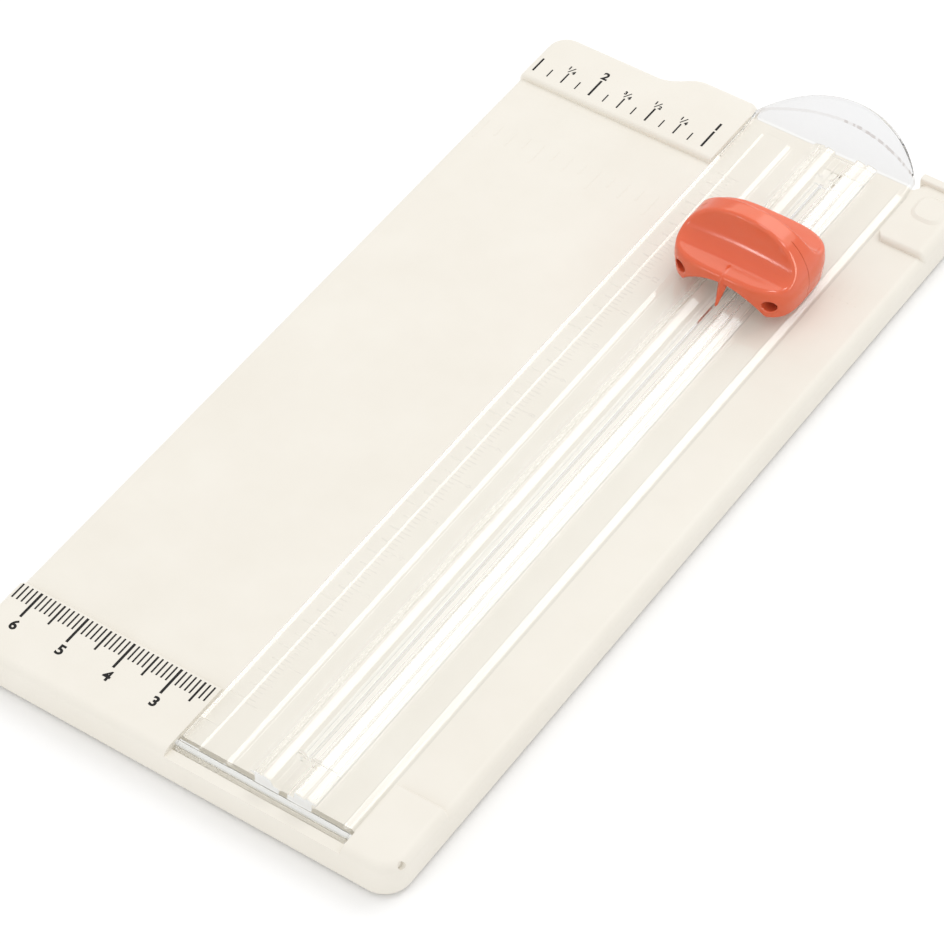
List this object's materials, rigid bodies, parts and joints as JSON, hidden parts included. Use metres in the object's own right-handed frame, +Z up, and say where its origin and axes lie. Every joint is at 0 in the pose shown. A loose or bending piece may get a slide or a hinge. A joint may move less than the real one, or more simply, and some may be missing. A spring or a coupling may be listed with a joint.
{
  "type": "paper trimmer",
  "caption": "Small sliding-blade paper trimmer: flat base with ruled ledges, clear hinged guide rail with a round lift tab, and a press-down slider carrying the blade.",
  "frame": {"origin": "centre of the whole trimmer's box, on the plane the rubber feet stand on", "axes": "+X to the scrap side (right), +Y along the cutting line to the lift tab, +Z up"},
  "size_m": [0.0896, 0.1922, 0.0246],
  "materials": {
    "ivory_plastic": "satin moulded ivory ABS",
    "clear_plastic": "polished clear polystyrene",
    "coral_plastic": "glossy moulded coral ABS",
    "white_plastic": "natural white acetal",
    "strip_plastic": "off-white cutting strip, matt",
    "steel": "bright zinc-plated steel",
    "spring_steel": "drawn spring wire",
    "blade_steel": "ground blade steel",
    "foot_rubber": "soft grey rubber"
  },
  "bodies": {
    "base": {"base_tray": "ivory_plastic", "cutting_strip": "strip_plastic", "hinge_pin": "white_plastic", "hinge_plug": "ivory_plastic", "foot_front_left": "foot_rubber", "foot_front_right": "foot_rubber", "foot_back_left": "foot_rubber", "foot_back_right": "foot_rubber"},
    "rail": {"guide_rail": "clear_plastic"},
    "carriage": {"slide_shoe": "white_plastic", "spring_left": "spring_steel", "spring_right": "spring_steel"},
    "grip": {"grip_front": "coral_plastic", "grip_back": "coral_plastic", "grip_screws": "steel", "runner_left": "white_plastic", "runner_right": "white_plastic", "blade_holder": "white_plastic", "blade": "blade_steel", "blade_pin": "steel"}
  },
  "joints": [
    {"name": "rail_lift", "type": "hinge", "parent": "base", "child": "rail", "pos_m": [0.01655, -0.09258, 0.0072], "axis": [1, 0, 0], "range_deg": [0, 70]},
    {"name": "slider_travel", "type": "slide", "parent": "rail", "child": "carriage", "axis": [0, 1, 0], "range_m": [-0.129, 0.021]},
    {"name": "grip_press", "type": "slide", "parent": "carriage", "child": "grip", "axis": [0, 0, -1], "range_m": [0, 0.0006], "stiffness_N_per_m": 400, "springref_m": -0.004, "deforming": ["spring_left", "spring_right"]}
  ]
}
